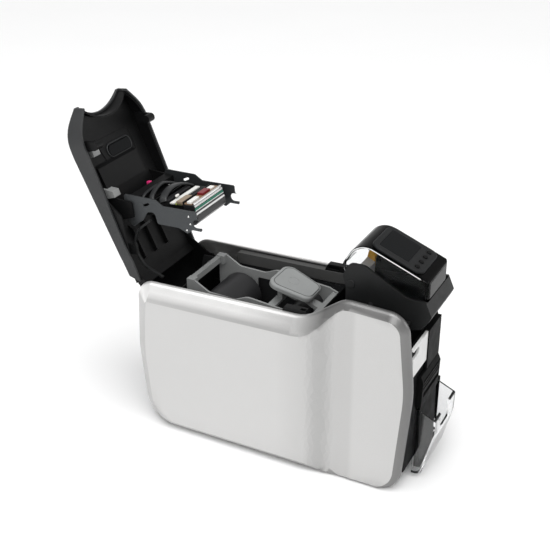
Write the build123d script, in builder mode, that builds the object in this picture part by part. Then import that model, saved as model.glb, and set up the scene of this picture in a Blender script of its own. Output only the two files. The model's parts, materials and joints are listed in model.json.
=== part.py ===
from build123d import *
from math import atan2, cos, degrees, hypot, pi, radians, sin, sqrt, tan
import os

os.makedirs("parts", exist_ok=True)

# A desktop printer for plastic cards, with its top cover swung open.
# x runs across the printer, y from back (+) to front (-), z up from the table.
# Outlines are measured from the rear edge: their y is 0 there and negative towards the front.

# ---------------------------------------------------------------- driving dimensions
rear = 134.7            # row y of the rear edge: centres the box of the open printer
depth = 338.5           # rear edge to the front edge of the left side panel
setback = 20.0          # how much shorter the right side panel is at the front
half_width = 80.0       # outer face of a side panel
front_half = 72.0       # the same where the face steps in, near the front
core_half = 61.5        # inner plane of the side panels
panel_wall = 2.6
border_depth = 14.0     # how far the border of a side panel falls back from its face
border_width = 18.0
border_round = 7.0
rim_rear = 188.0        # height of the side panel at the rear
rim_dip = 193.2         # at the low point in front of the ribbon bay
rim_brow = 225.5        # at the raised front
dip_y = -214.0
brow_y = -258.0
panel_foot = 3.0        # clear of the table
step_start = -211.0     # where the face starts to step in
step_end = -260.0
boss_radius = 4.0
rear_bosses = [(-40, 60), (-70, 145), (-200, 40)]
front_bosses = [(-285, 160), (-285, 50)]

foot_radius = 8.0
foot_height = 5.0
foot_sink = 1.0
tray_floor = 3.0
tray_wall = 2.5
tray_height = 24.0
tray_gap = 0.5          # between tray and side panels

chassis_x = 54.5        # inner face of the steel chassis plates
chassis_sheet = 1.5
chassis_top = 172.0
chassis_front_top = 196.0

hinge_y = -24.0
hinge_z = 161.0
swing = 96.0            # from open to closed
pin_radius = 3.0
running_gap = 0.05
barrel_radius = 29.5
barrel_wall = 2.4

roller_radius = 7.5
roller_half = 29.0
axle_radius = 3.0
axle_z = 102.0
platen_y = -120.5
entry_y = -205.0
exit_y = -300.0
bush_radius = 5.0
bush_flange = 5.8

# ---------------------------------------------------------------- planes and helpers
side = Plane(origin=(0, rear, 0), x_dir=(0, 1, 0), z_dir=(1, 0, 0))
deck = Plane(origin=(0, rear, 0))
face = Plane(origin=(0, rear, 0), x_dir=(1, 0, 0), z_dir=(0, -1, 0))


def save(piece, name):
    """Label a finished piece and write it."""
    piece.part.label = name
    export_step(piece.part, f"parts/{name}.step")


def tilted(plane, y, z, angle):
    """The plane turned about the cross axis through (y, z)."""
    pivot = Location((0, rear + y, z))
    return Plane(pivot * Location((0, 0, 0), (angle, 0, 0)) * pivot.inverse() * plane.location)


def opened(plane):
    """A plane of the closed cover, carried to where the open cover holds it."""
    return tilted(plane, hinge_y, hinge_z, -swing)


def on_both_sides(piece):
    """Add the mirror image of a piece across the middle."""
    with BuildPart() as pair:
        add(piece.part)
        mirror(piece.part, about=Plane.YZ)
    return pair


def mirrored(piece):
    with BuildPart() as other:
        mirror(piece.part, about=Plane.YZ)
    return other


# ---------------------------------------------------------------- side panels
def panel_outline(front):
    """Corners of a side panel in side view, and the radius at each."""
    corners = [
        (0, rim_rear), (dip_y, rim_dip), (brow_y, rim_brow), (front + 9.5, rim_brow - 3),
        (front - 1, 130), (front + 9, -7), (-4, -7), (5, 100),
    ]
    radii = [21, 45, 28, 24, 180, 36, 46, 180]
    return corners, radii


def panel_blank(front, inset):
    """Body of a side panel, drawn in all round by inset."""
    corners, radii = panel_outline(front)
    with BuildPart() as blank:
        with BuildSketch(side.offset(core_half)):
            with BuildLine():
                FilletPolyline(*corners, radius=radii, close=True)
            make_face()
            if inset:
                offset(amount=-inset)
        extrude(amount=half_width - core_half - inset)
        outer = blank.faces().sort_by(Axis.X)[-1]
        chamfer(outer.edges(), length=border_width, length2=border_depth, reference=outer)
        if not inset:
            ridge_x = half_width - border_depth
            fillet(blank.edges().filter_by_position(Axis.X, ridge_x - 0.1, ridge_x + 0.1), border_round)
        with BuildSketch(deck.offset(panel_foot + inset)):
            with BuildLine():
                inner = core_half
                back = Line((inner, 20), (half_width - inset, 20))
                flank = Line(back @ 1, (half_width - inset, step_start))
                step = Spline(flank @ 1, (front_half - inset, step_end), tangents=[(0, -1), (0, -1)])
                nose = Line(step @ 1, (front_half - inset, front - 20))
                Polyline(nose @ 1, (inner, front - 20), (inner, 20))
            make_face()
        extrude(amount=rim_brow + 20, mode=Mode.INTERSECT)
    return blank


def side_panel(front):
    with BuildPart() as panel:
        add(panel_blank(front, 0).part)
        add(panel_blank(front, panel_wall).part, mode=Mode.SUBTRACT)
        chassis_face = chassis_x + chassis_sheet
        for outer, places in ((half_width, rear_bosses), (front_half, front_bosses)):
            with BuildSketch(side.offset(chassis_face)):
                with Locations(*places):
                    Circle(boss_radius)
            extrude(amount=outer - panel_wall / 2 - chassis_face)
    return panel


right_front = -depth + setback
left_front = -depth
right_side_panel = side_panel(right_front)
save(right_side_panel, "right_side_panel")
left_side_panel = mirrored(side_panel(left_front))
save(left_side_panel, "left_side_panel")


# ---------------------------------------------------------------- sills along the top of the bay
def rim_at(y):
    """Height of the side panels' rim between the rear and the low point."""
    return rim_rear + (rim_dip - rim_rear) * y / dip_y


def rise_at(y):
    """The same on the way up to the raised front."""
    return rim_dip + (rim_brow - rim_dip) * (y - dip_y) / (brow_y - dip_y)


def rim_strip(start, end, drop, thick):
    """Outline of a strip that follows the rim, lowered by drop."""
    with BuildSketch() as strip:
        with BuildLine():
            top = FilletPolyline(
                (start, rim_at(start) - drop), (dip_y, rim_dip - drop), (end, rise_at(end) - drop),
                radius=45)
            low = FilletPolyline(
                (start, rim_at(start) - drop - thick), (dip_y, rim_dip - drop - thick),
                (end, rise_at(end) - drop - thick), radius=45)
            Line(top @ 0, low @ 0)
            Line(top @ 1, low @ 1)
        make_face()
    return strip.sketch


sill_start = -66.0
sill_end = -246.0
sill_drop = 4.0
sill_thick = 3.0
sill_lip = 14.0
sill_lip_wall = 2.0
sill_gap = 0.3


def sill():
    with BuildPart() as rail:
        with BuildSketch(side.offset(chassis_x)):
            add(rim_strip(sill_start, sill_end, sill_drop, sill_thick))
        extrude(amount=core_half - sill_gap - chassis_x)
        with BuildSketch(side.offset(chassis_x)):
            add(rim_strip(sill_start, sill_end, sill_drop, sill_lip))
        extrude(amount=-sill_lip_wall)
    return rail


right_sill = sill()
save(right_sill, "right_sill")
left_sill = mirrored(right_sill)
save(left_sill, "left_sill")

# ---------------------------------------------------------------- base tray and feet
tray_bottom = foot_height - foot_sink
tray_half = core_half - tray_gap
tray_rear = -6.0
tray_front = right_front + 6
foot_places = [(x, y) for x in (-46, 46) for y in (-28, -296)]

with BuildPart() as base_tray:
    with BuildSketch(deck.offset(tray_bottom)):
        with Locations((0, (tray_rear + tray_front) / 2)):
            RectangleRounded(2 * tray_half, tray_rear - tray_front, 10)
    extrude(amount=tray_height - tray_bottom)
    with BuildSketch(deck.offset(tray_bottom + tray_floor)):
        with Locations((0, (tray_rear + tray_front) / 2)):
            RectangleRounded(2 * (tray_half - tray_wall), tray_rear - tray_front - 2 * tray_wall,
                             10 - tray_wall)
    extrude(amount=tray_height, mode=Mode.SUBTRACT)
    with BuildSketch(deck.offset(tray_bottom)):
        with Locations(*foot_places):
            Circle(foot_radius)
    extrude(amount=foot_sink, mode=Mode.SUBTRACT)
    with BuildSketch(deck):
        with Locations((0, -60)):
            with GridLocations(9, 0, 7, 1):
                SlotOverall(50, 3.5, rotation=90)
    extrude(amount=tray_height / 2, mode=Mode.SUBTRACT)
save(base_tray, "base_tray")

with BuildPart() as rubber_feet:
    with BuildSketch(deck):
        with Locations(*foot_places):
            Circle(foot_radius)
    extrude(amount=foot_height)
    chamfer(rubber_feet.faces().sort_by(Axis.Z)[:4].edges(), 1)
save(rubber_feet, "rubber_feet")

# ---------------------------------------------------------------- steel chassis plates
chassis_foot = tray_bottom + tray_floor
chassis_rear = -12.0
chassis_front = right_front + 14
motor_y = platen_y - 21 * cos(radians(45))
motor_z = axle_z - 21 * sin(radians(45))
rollers_y = (platen_y, entry_y, exit_y)
module_bolts = [(-262, 190), (-296, 190)]
window_wide = 40.0
window_high = 32.0


def chassis_plate():
    with BuildPart() as plate:
        with BuildSketch(side.offset(chassis_x)):
            with BuildLine():
                Polyline(
                    (chassis_rear, chassis_foot), (chassis_rear, 120), (hinge_y + 13, 140),
                    (hinge_y + 11, hinge_z),
                    (hinge_y + 8, hinge_z + 9), (hinge_y - 8, hinge_z + 10), (hinge_y - 36, chassis_top),
                    (-196, chassis_top), (-222, 178), (-246, chassis_front_top),
                    (chassis_front, chassis_front_top),
                    (chassis_front, chassis_foot), close=True)
            make_face()
            with Locations(*[(y, axle_z) for y in rollers_y]):
                Circle(bush_radius, mode=Mode.SUBTRACT)
            with Locations((hinge_y, hinge_z)):
                Circle(pin_radius, mode=Mode.SUBTRACT)
            with Locations((-60, 55), (-60, 128), (-210, 55), (-270, 55), (-165, 140), (-225, 140)):
                RectangleRounded(window_wide, window_high, 6, mode=Mode.SUBTRACT)
        extrude(amount=chassis_sheet)
    return plate


with BuildPart() as right_chassis_plate:
    add(chassis_plate().part)
    with BuildSketch(side.offset(chassis_x)):
        with Locations((motor_y, motor_z)):
            Circle(4)
    extrude(amount=chassis_sheet, mode=Mode.SUBTRACT)
save(right_chassis_plate, "right_chassis_plate")
left_chassis_plate = mirrored(chassis_plate())
save(left_chassis_plate, "left_chassis_plate")

with BuildPart() as hinge_pin:
    with BuildSketch(side.offset(chassis_x - 3)):
        with Locations((hinge_y, hinge_z)):
            Circle(pin_radius)
    extrude(amount=5 + chassis_sheet + 2)
hinge_pins = on_both_sides(hinge_pin)
save(hinge_pins, "hinge_pins")

with BuildPart() as bush:
    with BuildSketch(side.offset(chassis_x)):
        with Locations(*[(y, axle_z) for y in rollers_y]):
            Circle(bush_radius)
    extrude(amount=chassis_sheet)
    with BuildSketch(side.offset(chassis_x)):
        with Locations(*[(y, axle_z) for y in rollers_y]):
            Circle(bush_flange)
    extrude(amount=-1)
    with BuildSketch(side.offset(chassis_x)):
        with Locations(*[(y, axle_z) for y in rollers_y]):
            Circle(axle_radius + running_gap)
    extrude(amount=5, both=True, mode=Mode.SUBTRACT)
bearing_bushes = on_both_sides(bush)
save(bearing_bushes, "bearing_bushes")


# ---------------------------------------------------------------- rollers, gears and belt
gear_module = 1.0
gear_width = 5.0
gear_x = chassis_x + chassis_sheet + 1.0
pulley_x = gear_x + gear_width + 0.5
pulley_width = 5.0
pulley_radius = 9.0
belt_thick = 1.2
axle_reach = pulley_x + pulley_width + 0.5


def gear(teeth, y, z, turn, bore):
    """Spur gear with straight-flanked teeth, the first of them at the angle turn."""
    pitch = gear_module * teeth / 2
    tip = pitch + gear_module * 0.9
    root = pitch - gear_module * 1.15
    step = 360 / teeth
    with BuildPart() as wheel:
        with BuildSketch(side.offset(gear_x)):
            with Locations((y, z)):
                Circle(root)
                with PolarLocations(0, teeth, start_angle=turn):
                    half_root = radians(step) * root * 0.30
                    half_tip = gear_module * 0.36
                    Polygon((root - 0.3, -half_root), (tip, -half_tip), (tip, half_tip),
                            (root - 0.3, half_root),
                            align=None)
                Circle(bore, mode=Mode.SUBTRACT)
        extrude(amount=gear_width)
    return wheel


def roller(y, reach):
    """Rubber roller on its axle, which reaches out to the drive side and carries a pulley there."""
    with BuildPart() as spun:
        with BuildSketch(side.offset(-roller_half)):
            with Locations((y, axle_z)):
                Circle(roller_radius)
        extrude(amount=2 * roller_half)
        with BuildSketch(side.offset(-chassis_x - chassis_sheet)):
            with Locations((y, axle_z)):
                Circle(axle_radius)
        extrude(amount=chassis_x + chassis_sheet + reach)
        with BuildSketch(side.offset(pulley_x)):
            with Locations((y, axle_z)):
                Circle(pulley_radius)
        extrude(amount=pulley_width)
    return spun


platen_roller = roller(platen_y, axle_reach)
save(platen_roller, "platen_roller")
entry_roller = roller(entry_y, axle_reach)
save(entry_roller, "entry_roller")
exit_roller = roller(exit_y, axle_reach)
save(exit_roller, "exit_roller")

platen_gear = gear(30, platen_y, axle_z, 225, axle_radius)
save(platen_gear, "platen_gear")

motor_shaft = 1.5
with BuildPart() as motor_pinion:
    add(gear(12, motor_y, motor_z, 45 + 15, motor_shaft / 2).part)
    with BuildSketch(side.offset(chassis_x + chassis_sheet + 0.3)):
        with Locations((motor_y, motor_z)):
            Circle(motor_shaft)
    extrude(amount=gear_width + 2)
save(motor_pinion, "motor_pinion")

motor_radius = 14.0
motor_length = 24.0
with BuildPart() as drive_motor:
    with BuildSketch(side.offset(chassis_x - motor_length)):
        with Locations((motor_y, motor_z)):
            Circle(motor_radius)
    extrude(amount=motor_length)
    with BuildSketch(side.offset(chassis_x)):
        with Locations((motor_y, motor_z)):
            Circle(4)
    extrude(amount=chassis_sheet)
save(drive_motor, "drive_motor")

with BuildPart() as drive_belt:
    with BuildSketch(side.offset(pulley_x + 0.5)):
        for grow, mode in ((belt_thick + running_gap, Mode.ADD), (running_gap, Mode.SUBTRACT)):
            with Locations(((platen_y + exit_y) / 2, axle_z)):
                SlotCenterToCenter(platen_y - exit_y, 2 * (pulley_radius + grow), mode=mode)
    extrude(amount=pulley_width - 1)
save(drive_belt, "drive_belt")

# ---------------------------------------------------------------- rear panel, sockets, board
panel_sheet = 2.5
rear_top = 136.0
vent_long = 40.0
socket_z = 40.0
sockets = {"power_inlet": (-38, 14, 11), "usb_socket": (-12, 12, 11), "network_socket": (14, 16, 13)}
socket_depth = 14.0
socket_proud = 0.8

with BuildPart() as rear_panel:
    with BuildSketch(face.offset(0)):
        with Locations((0, (tray_height + rear_top) / 2 + 0.5)):
            RectangleRounded(2 * tray_half, rear_top - tray_height - 1, 3)
        for x, wide, high in sockets.values():
            with Locations((x, socket_z)):
                Rectangle(wide, high, mode=Mode.SUBTRACT)
        with Locations((0, 104)):
            with GridLocations(vent_long + 4, 7, 2, 6):
                SlotOverall(vent_long, 3, mode=Mode.SUBTRACT)
    extrude(amount=panel_sheet)
    with BuildSketch(face.offset(panel_sheet)):
        with Locations((-tray_half + 3.7, 80), (tray_half - 3.7, 80)):
            Rectangle(2.0, 100)
    extrude(amount=-chassis_rear - panel_sheet + 4)
save(rear_panel, "rear_panel")

for name, (x, wide, high) in sockets.items():
    with BuildPart() as socket:
        with BuildSketch(face.offset(-socket_proud)):
            with Locations((x, socket_z)):
                Rectangle(wide, high)
        extrude(amount=socket_depth)
        with BuildSketch(face.offset(-socket_proud)):
            with Locations((x, socket_z)):
                Rectangle(wide - 2.4, high - 2.4)
        extrude(amount=socket_depth - 3, mode=Mode.SUBTRACT)
        if name == "power_inlet":
            with BuildSketch(face.offset(socket_depth - 3)):
                with Locations((x, socket_z)):
                    Circle(1.5)
            extrude(amount=-5)
        else:
            with BuildSketch(face.offset(socket_depth - 3)):
                with Locations((x, socket_z + high / 4)):
                    Rectangle(wide - 5, 1.6)
            extrude(amount=-8)
    save(socket, name)

board_z = socket_z - 11
with BuildPart() as main_board:
    with BuildSketch(deck.offset(board_z)):
        with Locations((0, -60)):
            Rectangle(96, 100)
    extrude(amount=1.6)
    with BuildSketch(deck.offset(board_z)):
        with Locations((-42, -104), (42, -104), (-42, -16), (42, -16)):
            Circle(3)
    extrude(amount=chassis_foot - board_z)
    with BuildSketch(deck.offset(board_z + 1.6)):
        with Locations((-20, -50)):
            Rectangle(16, 16)
        with Locations((20, -70)):
            Rectangle(12, 20)
        with Locations((0, -96)):
            Rectangle(40, 6)
    extrude(amount=3)
save(main_board, "main_board")

# ---------------------------------------------------------------- card path and ribbon bay
path_z = axle_z + roller_radius
card_thick = 0.8
plate_x = 42.0          # inner face of the printhead's side plates
head_sheet = 1.5
guide_top = path_z - 1.5
guide_sheet = 2.0
cassette_half = 38.5
cassette_gap = 0.8
bay_rear = -40.0
bay_front = -210.0
bay_wall = 2.0
head_zone = (-156.0, -104.0)

with BuildPart() as card_guide:
    with BuildSketch(deck.offset(guide_top - guide_sheet)):
        with Locations((0, (bay_rear + chassis_front) / 2)):
            Rectangle(2 * chassis_x, bay_rear - chassis_front)
        with Locations(*[(0, y) for y in rollers_y]):
            Rectangle(2 * roller_half + 3, 2 * roller_radius + 3, mode=Mode.SUBTRACT)
        with Locations(*[(x, y) for y in rollers_y for x in (-chassis_x, chassis_x)]):
            Rectangle(4, 2 * bush_flange + 2, mode=Mode.SUBTRACT)
        with Locations((-plate_x - head_sheet / 2, platen_y), (plate_x + head_sheet / 2, platen_y)):
            Rectangle(head_sheet + 2, 36, mode=Mode.SUBTRACT)
    extrude(amount=guide_sheet)
save(card_guide, "card_guide")

bay_inner = cassette_half + cassette_gap
with BuildPart() as ribbon_bay:
    with BuildSketch(deck.offset(guide_top)):
        for x in (-1, 1):
            for low, high in ((head_zone[1], bay_rear), (bay_front, head_zone[0])):
                with Locations((x * (bay_inner + bay_wall / 2), (low + high) / 2)):
                    Rectangle(bay_wall, high - low)
    extrude(amount=150 - guide_top)
    with BuildSketch(deck.offset(guide_top)):
        with Locations((-chassis_x + 4, (bay_rear + bay_front) / 2),
                       (chassis_x - 4, (bay_rear + bay_front) / 2)):
            Rectangle(8, bay_rear - bay_front + 1)
    extrude(amount=2)
    with BuildSketch(deck.offset(guide_top)):
        with Locations((0, bay_rear + bay_wall / 2)):
            Rectangle(2 * chassis_x, bay_wall)
    extrude(amount=168 - guide_top)
    with BuildSketch(deck.offset(guide_top)):
        with Locations((0, bay_front - bay_wall / 2)):
            Rectangle(2 * chassis_x, bay_wall)
    extrude(amount=176 - guide_top)
    with BuildSketch(face.offset(-bay_front - 3)):
        with Locations((0, path_z)):
            Rectangle(58, 6)
    extrude(amount=10, mode=Mode.SUBTRACT)
save(ribbon_bay, "ribbon_bay")

# ---------------------------------------------------------------- front of the body
fascia_back = -330.0
fascia_y = -333.0
corner_x = 22.0
fascia_low = tray_height + 0.5
fascia_high = 184.0
mouth_z = path_z

with BuildPart() as front_fascia:
    with BuildSketch(deck.offset(fascia_low)):
        with BuildLine():
            Polyline((-tray_half, fascia_y), (corner_x, fascia_y), (tray_half, right_front + 2.5),
                     (tray_half, right_front + 5.5), (corner_x - 1, fascia_back),
                     (-tray_half, fascia_back), close=True)
        make_face()
    extrude(amount=fascia_high - fascia_low)
    with BuildSketch(face.offset(-fascia_y)):
        with Locations(((corner_x - 17) / 2, 160)):
            Rectangle(corner_x + 17, 2 * (fascia_high - 160))
    extrude(amount=4)
    with BuildSketch(face.offset(-fascia_back - 2)):
        with Locations((0, mouth_z)):
            Rectangle(58, 7)
    extrude(amount=12, mode=Mode.SUBTRACT)
    with BuildSketch(deck.offset(fascia_low)):
        with Locations((chassis_x - 1.6, (fascia_back + chassis_front) / 2),
                       (-chassis_x + 1.6, (fascia_back + chassis_front) / 2)):
            Rectangle(2, abs(fascia_back - chassis_front) + 4)
    extrude(amount=60)
    split(bisect_by=Plane(origin=(0, 0, fascia_low)), keep=Keep.TOP)
save(front_fascia, "front_fascia")

with BuildPart() as chute_cover:
    with BuildSketch(face.offset(-fascia_y)):
        with Locations(((-tray_half - 18) / 2, (148 + fascia_high) / 2)):
            Rectangle(tray_half - 18, fascia_high - 148)
        with Locations((-tray_half, 176)):
            SlotOverall(34, 9, mode=Mode.SUBTRACT)
    extrude(amount=3)
save(chute_cover, "chute_cover")

with BuildPart() as feed_mouth:
    with BuildSketch(side.offset(-34)):
        with BuildLine():
            Polyline((fascia_y, 135), (fascia_y - 4, 135), (fascia_y - 7, 128), (fascia_y - 6, 96),
                     (fascia_y, 94),
                     close=True)
        make_face()
    extrude(amount=corner_x + 34)
    with BuildSketch(face.offset(-fascia_y)):
        with Locations((-4, mouth_z)):
            Rectangle(50, 6)
    extrude(amount=10, mode=Mode.SUBTRACT)
    with BuildSketch(side.offset(-32)):
        with Locations(*[(fascia_y - 7.5, z) for z in (119, 123.5, 128, 132.5)]):
            Rectangle(4, 2)
    extrude(amount=corner_x + 30, mode=Mode.SUBTRACT)
save(feed_mouth, "feed_mouth")

hopper_half = 34.0
hopper_wall = 2.2
hopper_back = fascia_y


def hopper_profile(inset, lift):
    """Side view of the card hopper drawn in by inset, its top edge lifted."""
    with BuildSketch() as profile:
        with BuildLine():
            wall = FilletPolyline(
                (hopper_back, 93 + lift), (-357 + inset, 82 + lift), (-356.5 + inset, 58),
                (-344 + inset, 6 + inset),
                (hopper_back, 6 + inset), radius=[2, 40, 9 - inset])
            Line(wall @ 1, wall @ 0)
        make_face()
    return profile.sketch


with BuildPart() as output_hopper:
    with BuildSketch(side.offset(-hopper_half)):
        add(hopper_profile(0, 0))
    extrude(amount=2 * hopper_half)
    with BuildSketch(side.offset(hopper_wall - hopper_half)):
        add(hopper_profile(hopper_wall, 60))
    extrude(amount=2 * (hopper_half - hopper_wall), mode=Mode.SUBTRACT)
    with BuildSketch(face.offset(14 - fascia_y)):
        with Locations((0, 92)):
            RectangleRounded(30, 60, 8)
    extrude(amount=20, mode=Mode.SUBTRACT)
save(output_hopper, "output_hopper")

with BuildPart() as card_ramp:
    with BuildSketch(side.offset(-26)):
        with BuildLine():
            Polyline((fascia_y, 90), (fascia_y - 3, 90), (fascia_y - 5, 14), (fascia_y - 8, 10),
                     (fascia_y, 10), close=True)
        make_face()
    extrude(amount=52)
save(card_ramp, "card_ramp")

# ---------------------------------------------------------------- latch receptacles on the sills
latch_y = -208.0
latch_x = 57.5


def receptacle():
    """Block on the sill with a dark window and the slot that the cover's latch drops into."""
    with BuildPart() as block:
        with BuildSketch(side.offset(chassis_x - 1.5)):
            with BuildLine():
                Polyline((-182, rim_at(-182) - sill_drop), (-186, rim_at(-186) + 4.5),
                         (-212, rim_at(-212) + 4.5),
                         (-216, rim_at(-212) - sill_drop + 1), close=True)
            make_face()
        extrude(amount=core_half - 0.3 - chassis_x + 1.5)
        with BuildSketch(deck.offset(180)):
            with Locations((latch_x + 0.5, latch_y)):
                Rectangle(4.4, 6)
        extrude(amount=40, mode=Mode.SUBTRACT)
        with BuildSketch(side.offset(chassis_x - 1.5)):
            with Locations((-194, rim_at(-194) + 0.6)):
                Rectangle(14, 4)
        extrude(amount=5, mode=Mode.SUBTRACT)
        add(right_sill.part, mode=Mode.SUBTRACT)
    return block


latch_receptacles = on_both_sides(receptacle())
save(latch_receptacles, "latch_receptacles")

# ---------------------------------------------------------------- card feeder on the raised front
feeder_half = 36.0
feeder_wall = 3.0
feeder_floor = 217.0
feeder_rear = -247.0
feeder_base_half = 50.0
feeder_base_top = 201.0
hood_y = feeder_rear - 5.5
hood_z = 229.0
hood_pin = 2.5
boss_head = 5.0
pick_y = -276.0
pick_radius = 8.0
pick_z = feeder_floor + 1.5 - pick_radius
pick_half = 12.0
pick_axle = 2.5
feeder_inner = feeder_half - feeder_wall
feeder_base_inner = feeder_base_half - feeder_wall

with BuildPart() as feeder_housing:
    with BuildSketch(side.offset(-feeder_half)):
        with BuildLine():
            FilletPolyline(
                (feeder_rear, 190), (feeder_rear, 224), (feeder_rear + 4, 237), (-250, 253),
                (-268, 253.5), (-316, 226), (-337, 226.5), (-344, 211), (-341, 204), (-334, 194),
                (-320, 190), radius=[0.5, 6, 8, 9, 14, 22, 1, 2, 3, 3, 0.5], close=True)
        make_face()
    extrude(amount=2 * feeder_half)
    with BuildSketch(side.offset(-feeder_base_half)):
        Polygon((-250, 186), (-250, feeder_base_top), (-322, feeder_base_top), (-318, 186), align=None)
    extrude(amount=2 * feeder_base_half)
    with BuildSketch(side.offset(-feeder_inner)):
        Polygon((-238, feeder_floor), (-238, 300), (-337.5, 300), (-337.5, feeder_floor + 3),
                (-330, feeder_floor), align=None)
        Polygon((-250, 180), (-250, feeder_floor - 3), (-329, feeder_floor - 3), (-322, 180),
                align=None)
    extrude(amount=2 * feeder_inner, mode=Mode.SUBTRACT)
    with BuildSketch(side.offset(-feeder_base_inner)):
        Polygon((-247, 180), (-247, feeder_base_top - 3), (-319, feeder_base_top - 3), (-315, 180),
                align=None)
    extrude(amount=2 * feeder_base_inner, mode=Mode.SUBTRACT)
    with BuildSketch(deck.offset(feeder_floor - 5)):
        with Locations((0, pick_y)):
            Rectangle(2 * pick_half + 3, 15)
    extrude(amount=10, mode=Mode.SUBTRACT)
    with BuildSketch(side.offset(-feeder_half - 5)):
        with Locations((hood_y, hood_z)):
            Circle(hood_pin)
        with Locations((pick_y, pick_z)):
            Circle(pick_axle + running_gap)
    extrude(amount=2 * feeder_half + 10, mode=Mode.SUBTRACT)
    for edge in (-feeder_base_half, feeder_base_half):
        with BuildSketch(side.offset(edge)):
            with Locations(*module_bolts):
                Circle(5)
        extrude(amount=(chassis_x - feeder_base_half) * edge / feeder_base_half)
save(feeder_housing, "feeder_housing")

with BuildPart() as hood_pin_right:
    with BuildSketch(side.offset(feeder_inner - 4)):
        with Locations((hood_y, hood_z)):
            Circle(hood_pin)
    extrude(amount=feeder_wall + 4)
    with BuildSketch(side.offset(feeder_half)):
        with Locations((hood_y, hood_z)):
            Circle(boss_head)
    extrude(amount=1)
    fillet(hood_pin_right.faces().sort_by(Axis.X)[-1].edges(), 0.8)
hood_pins = on_both_sides(hood_pin_right)
save(hood_pins, "hood_pins")

with BuildPart() as pick_roller:
    with BuildSketch(side.offset(-pick_half)):
        with Locations((pick_y, pick_z)):
            Circle(pick_radius)
    extrude(amount=2 * pick_half)
    with BuildSketch(side.offset(-feeder_half + 0.5)):
        with Locations((pick_y, pick_z)):
            Circle(pick_axle)
    extrude(amount=2 * feeder_half - 1)
save(pick_roller, "pick_roller")

gate_half = 13.0
gate_x = gate_half + 5 - feeder_inner
lever_y = -260.0
lever_z = 238.0
with BuildPart() as feeder_gate:
    with BuildSketch(side.offset(gate_x - gate_half)):
        Polygon((-266, feeder_floor), (-254, feeder_floor), (-254, 238), (-257, 247), (-266, 243),
                align=None)
    extrude(amount=2 * gate_half)
    with BuildSketch(side.offset(gate_x + gate_half)):
        with Locations((lever_y, lever_z)):
            Circle(1.5)
    extrude(amount=5)
save(feeder_gate, "feeder_gate")

with BuildPart() as gate_lever:
    with BuildSketch(side.offset(gate_x + gate_half + 0.3)):
        with Locations((lever_y, lever_z)):
            Circle(5)
        Polygon((lever_y + 5, lever_z), (lever_y + 2, lever_z + 16), (lever_y - 6, lever_z + 18),
                (lever_y - 5, lever_z),
                align=None)
        with Locations((lever_y, lever_z)):
            Circle(1.5 + running_gap, mode=Mode.SUBTRACT)
    extrude(amount=4)
save(gate_lever, "gate_lever")

hood_wall = 2.2
hood_gap = 0.5
hood_half = feeder_inner - hood_gap
hood_rear_low = 241.0
hood_low_front = 223.5
hood_edge = 4.0
crown_rear = (-259.0, 277.8)
crown_front = (-337.0, 246.9)
nose_gap = 1.2              # between the hood's bowed rear and the notch in the cover
lid_tip = -246.0
notch_half = 37.0
notch_deep = 15.0
notch_radius = (notch_half ** 2 + notch_deep ** 2) / (2 * notch_deep)
notch_centre = lid_tip + notch_deep - notch_radius


def hood_blank(inset):
    """Body of the clear hood, drawn in by inset and open below when inset."""
    low = inset * 10
    with BuildPart() as blank:
        with BuildSketch(side.offset(-hood_half + inset)):
            with BuildLine():
                top = FilletPolyline(
                    (-235.5 - inset, hood_rear_low), (-257.3, 278.5 - inset),
                    (-337 + inset, 246.9 - inset), (-337 + inset, hood_low_front - low),
                    radius=[22 - inset, 5])
                FilletPolyline(
                    top @ 1, (-326, hood_low_front - low), (-310, 226 - low), (-268, 240 - low),
                    (hood_y - 5, hood_z - 5 - low), (hood_y + 5, hood_z - 5 - low),
                    (hood_y + 5, hood_rear_low - low), top @ 0, radius=[4, 8, 8, 3, 3, 0.5])
            make_face()
        extrude(amount=2 * (hood_half - inset))
        rims = [e for e in blank.edges() if abs(abs(e.center().X) - hood_half + inset) < 0.01
                and (e.center().Z > hood_rear_low + 1 or e.center().Y < rear - 337.1 + inset + 0.2)]
        fillet(rims, hood_edge - inset)
        with BuildSketch(deck.offset(100)):
            with BuildLine():
                reach = notch_radius - nose_gap - inset
                half = hood_half - inset
                meet = notch_centre + sqrt(reach ** 2 - half ** 2)
                nose = RadiusArc((half, meet), (-half, meet), -reach)
                front_row = FilletPolyline(nose @ 1, (-half, -337 + inset), (half, -337 + inset), nose @ 0,
                                           radius=9)
            make_face()
        extrude(amount=300, mode=Mode.INTERSECT)
    return blank


crown_mid = ((crown_rear[0] + crown_front[0]) / 2, (crown_rear[1] + crown_front[1]) / 2)
crown_angle = degrees(atan2(crown_rear[1] - crown_front[1], crown_rear[0] - crown_front[0]))
crown = tilted(deck.offset(crown_mid[1]), crown_mid[0], crown_mid[1], crown_angle)
crown_up = Axis((0, 0, 0), crown.z_dir)
panel_long = 62.0
panel_wide = 54.0
well_long = 55.0
well_wide = 46.0
well_gap = 0.3
button_y = crown_mid[0] - 21.5
button_pitch = 12.0
button_radius = 3.0
button_gap = 0.25
display_wide = 40.0
display_long = 36.0
display_deep = 1.2
display_y = crown_mid[0] + 6.5

with BuildPart() as hood:
    add(hood_blank(0).part)
    add(hood_blank(hood_wall).part, mode=Mode.SUBTRACT)
    with BuildSketch(side.offset(-hood_half)):
        with Locations((hood_y, hood_z)):
            Circle(hood_pin + running_gap)
    extrude(amount=2 * hood_half, mode=Mode.SUBTRACT)
    with BuildSketch(crown.offset(-8)):
        with Locations((0, crown_mid[0])):
            RectangleRounded(well_wide + 2 * well_gap, well_long + 2 * well_gap, 4)
    extrude(amount=20, mode=Mode.SUBTRACT)
save(hood, "hood")

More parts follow.
